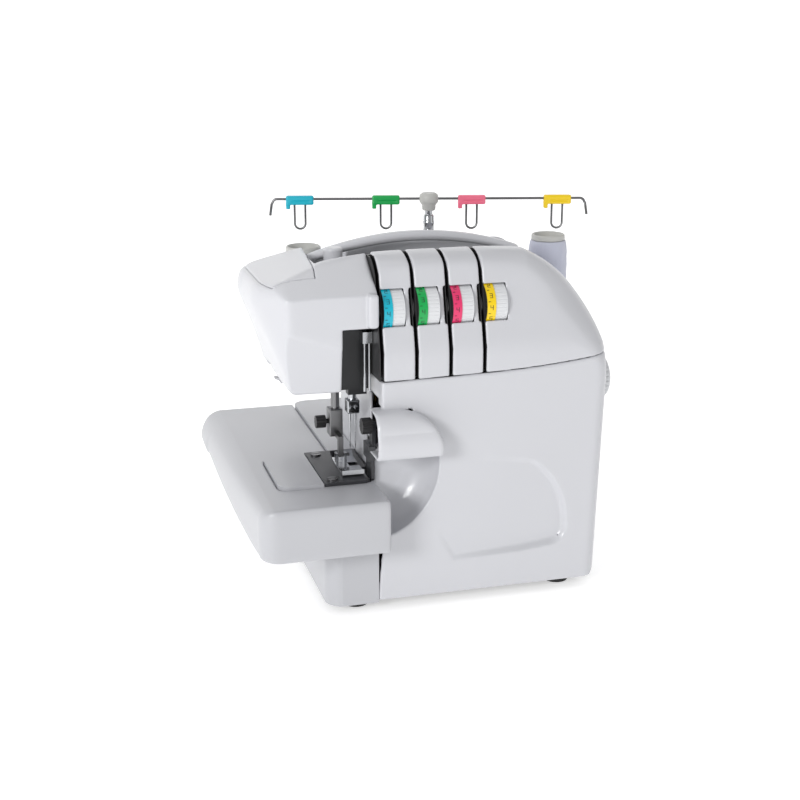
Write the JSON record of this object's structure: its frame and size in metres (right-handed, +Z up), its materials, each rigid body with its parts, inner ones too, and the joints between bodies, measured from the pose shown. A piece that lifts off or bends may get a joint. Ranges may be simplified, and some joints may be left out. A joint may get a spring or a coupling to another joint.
{
  "type": "serger overlock machine",
  "caption": "Domestic serger overlock machine with tension dials, folding carry handle, thread tree with spools, opening looper cover and slide-off extension table.",
  "frame": {"origin": "on the table top, at the middle of the whole machine's footprint", "axes": "+X to the machine's right as the user faces it, +Y to its back, +Z up"},
  "size_m": [0.3363, 0.28, 0.307],
  "materials": {
    "white_casing": "satin gloss moulded",
    "pale_grey_plastic": "satin",
    "black_plastic": "matte",
    "white_drum": "satin",
    "cyan_plastic": "satin",
    "green_plastic": "satin",
    "pink_plastic": "satin",
    "yellow_plastic": "satin",
    "clip_plastic": "satin; the four clips are cyan, green, pink and yellow",
    "chrome_steel": "polished",
    "steel": "brushed",
    "dark_steel": "blued and ground",
    "cast_aluminium": "as cast",
    "brass": "turned",
    "rubber": "matte",
    "belt_rubber": "matte",
    "motor_paint": "satin enamel",
    "thread": "wound thread"
  },
  "bodies": {
    "machine_body": {"base_tray": "black_plastic", "rubber_feet": "rubber", "bed_casing": "white_casing", "casing_screws": "steel", "needle_plate": "dark_steel", "lower_knife": "steel", "panel_segment_1": "white_casing", "panel_segment_2": "white_casing", "panel_segment_3": "white_casing", "right_panel": "white_casing", "thread_guides": "black_plastic", "tension_discs": "steel", "head_cover": "white_casing", "head_top_lid": "white_casing", "arm_inner_cover": "pale_grey_plastic", "rear_casing": "white_casing", "chassis_frame": "cast_aluminium", "shaft_bushes": "brass", "motor": "motor_paint", "drive_belt": "belt_rubber", "thread_posts": "chrome_steel", "spool_stand": "white_casing", "pole_outer": "chrome_steel", "power_inlet": "black_plastic"},
    "main_shaft": {"main_shaft": "steel", "handwheel": "white_drum"},
    "motor_rotor": {"motor_pulley": "steel"},
    "needle_bar": {"needle_bar": "chrome_steel", "needles": "chrome_steel"},
    "presser_bar": {"presser_bar": "steel", "presser_clamp_screw": "black_plastic"},
    "presser_foot": {"presser_foot": "chrome_steel"},
    "foot_lifter": {"foot_lifter": "white_casing"},
    "pressure_knob": {"pressure_knob": "white_drum"},
    "carry_handle": {"carry_handle": "white_casing"},
    "cover_slide": {"cover_hinge_pin": "steel"},
    "looper_cover": {"looper_cover": "white_casing"},
    "extension_table": {"extension_table": "white_casing"},
    "upper_looper": {"upper_looper": "chrome_steel"},
    "lower_looper": {"lower_looper": "chrome_steel"},
    "upper_knife": {"upper_knife": "dark_steel", "knife_knob": "black_plastic"},
    "feed_dogs": {"feed_dogs": "steel"},
    "power_switch": {"power_switch": "black_plastic"},
    "stitch_dial": {"stitch_dial": "white_drum"},
    "telescopic_pole": {"pole_inner": "chrome_steel"},
    "guide_bar": {"guide_wires": "steel", "thread_clips": "clip_plastic"},
    "tension_dial_1": {"dial_drum_1": "white_drum", "dial_ring_1": "cyan_plastic"},
    "thread_spool_1": {"thread_spool_1": "thread"},
    "tension_dial_2": {"dial_drum_2": "white_drum", "dial_ring_2": "green_plastic"},
    "thread_spool_2": {"thread_spool_2": "thread"},
    "tension_dial_3": {"dial_drum_3": "white_drum", "dial_ring_3": "pink_plastic"},
    "thread_spool_3": {"thread_spool_3": "thread"},
    "tension_dial_4": {"dial_drum_4": "white_drum", "dial_ring_4": "yellow_plastic"},
    "thread_spool_4": {"thread_spool_4": "thread"}
  },
  "joints": [
    {"name": "handwheel_turn", "type": "hinge", "parent": "machine_body", "child": "main_shaft", "pos_m": [0, -0.0125, 0.153], "axis": [1, 0, 0], "continuous": true},
    {"name": "motor_turn", "type": "hinge", "parent": "machine_body", "child": "motor_rotor", "pos_m": [0.1, -0.0125, 0.06], "axis": [1, 0, 0], "continuous": true},
    {"name": "needle_stroke", "type": "slide", "parent": "machine_body", "child": "needle_bar", "axis": [0, 0, 1], "range_m": [-0.022, 0.002]},
    {"name": "presser_lift", "type": "slide", "parent": "machine_body", "child": "presser_bar", "axis": [0, 0, 1], "range_m": [0, 0.006], "stiffness_N_per_m": 400, "springref_m": -0.02},
    {"name": "presser_foot_tilt", "type": "hinge", "parent": "presser_bar", "child": "presser_foot", "pos_m": [-0.079, -0.0535, 0.115], "axis": [1, 0, 0], "range_deg": [-6, 0]},
    {"name": "lifter_turn", "type": "hinge", "parent": "machine_body", "child": "foot_lifter", "pos_m": [-0.112, -0.02, 0.196], "axis": [0, 1, 0], "range_deg": [0, 40]},
    {"name": "pressure_knob_turn", "type": "hinge", "parent": "machine_body", "child": "pressure_knob", "pos_m": [-0.079, -0.036, 0.26], "axis": [0, 0, 1], "range_deg": [-360, 360]},
    {"name": "handle_fold", "type": "hinge", "parent": "machine_body", "child": "carry_handle", "pos_m": [0, -0.0125, 0.267], "axis": [1, 0, 0], "range_deg": [0, 80]},
    {"name": "cover_shift", "type": "slide", "parent": "machine_body", "child": "cover_slide", "axis": [1, 0, 0], "range_m": [0, 0.01]},
    {"name": "cover_open", "type": "hinge", "parent": "cover_slide", "child": "looper_cover", "pos_m": [0, -0.1015, 0.0145], "axis": [1, 0, 0], "range_deg": [0, 75]},
    {"name": "table_slide", "type": "slide", "parent": "machine_body", "child": "extension_table", "axis": [1, 0, 0], "range_m": [-0.11, 0]},
    {"name": "upper_looper_swing", "type": "hinge", "parent": "machine_body", "child": "upper_looper", "pos_m": [-0.038, -0.07, 0.084], "axis": [0, 1, 0], "range_deg": [-6, 6]},
    {"name": "lower_looper_swing", "type": "hinge", "parent": "machine_body", "child": "lower_looper", "pos_m": [-0.048, -0.054, 0.078], "axis": [0, 1, 0], "range_deg": [-6, 6]},
    {"name": "upper_knife_rock", "type": "hinge", "parent": "machine_body", "child": "upper_knife", "pos_m": [-0.059, -0.088, 0.149], "axis": [1, 0, 0], "range_deg": [-3, 6]},
    {"name": "feed_stroke", "type": "slide", "parent": "machine_body", "child": "feed_dogs", "axis": [0, 1, 0], "range_m": [-0.0015, 0.0015]},
    {"name": "power_rocker", "type": "hinge", "parent": "machine_body", "child": "power_switch", "pos_m": [0.126, 0.012, 0.046], "axis": [0, 1, 0], "range_deg": [-7, 0]},
    {"name": "stitch_dial_turn", "type": "hinge", "parent": "machine_body", "child": "stitch_dial", "pos_m": [0.131, -0.06, 0.118], "axis": [1, 0, 0], "range_deg": [-135, 135]},
    {"name": "pole_extend", "type": "slide", "parent": "machine_body", "child": "telescopic_pole", "axis": [0, 0, 1], "range_m": [0, 0.11]},
    {"name": "guide_bar_swivel", "type": "hinge", "parent": "telescopic_pole", "child": "guide_bar", "pos_m": [0.03, 0.0643, 0.302], "axis": [0, 0, 1], "range_deg": [-8, 22]},
    {"name": "tension_dial_1_turn", "type": "hinge", "parent": "machine_body", "child": "tension_dial_1", "pos_m": [-0.0559, -0.0872, 0.2415], "axis": [1, 0, 0], "range_deg": [-150, 150]},
    {"name": "tension_dial_2_turn", "type": "hinge", "parent": "machine_body", "child": "tension_dial_2", "pos_m": [-0.0284, -0.0872, 0.2415], "axis": [1, 0, 0], "range_deg": [-150, 150]},
    {"name": "tension_dial_3_turn", "type": "hinge", "parent": "machine_body", "child": "tension_dial_3", "pos_m": [-0.0009, -0.0872, 0.2415], "axis": [1, 0, 0], "range_deg": [-150, 150]},
    {"name": "tension_dial_4_turn", "type": "hinge", "parent": "machine_body", "child": "tension_dial_4", "pos_m": [0.0266, -0.0872, 0.2415], "axis": [1, 0, 0], "range_deg": [-150, 150]},
    {"name": "thread_spool_1_spin", "type": "hinge", "parent": "machine_body", "child": "thread_spool_1", "pos_m": [-0.0822, 0.0643, 0.2], "axis": [0, 0, 1], "continuous": true},
    {"name": "thread_spool_2_spin", "type": "hinge", "parent": "machine_body", "child": "thread_spool_2", "pos_m": [-0.0074, 0.0643, 0.2], "axis": [0, 0, 1], "continuous": true},
    {"name": "thread_spool_3_spin", "type": "hinge", "parent": "machine_body", "child": "thread_spool_3", "pos_m": [0.0674, 0.0643, 0.2], "axis": [0, 0, 1], "continuous": true},
    {"name": "thread_spool_4_spin", "type": "hinge", "parent": "machine_body", "child": "thread_spool_4", "pos_m": [0.1422, 0.0643, 0.2], "axis": [0, 0, 1], "continuous": true}
  ],
  "couplings": [
    {"joint": "motor_turn", "follows": "handwheel_turn", "ratio": 3},
    {"joint": "lifter_turn", "follows": "presser_lift", "rad_per_m": 116.36}
  ]
}
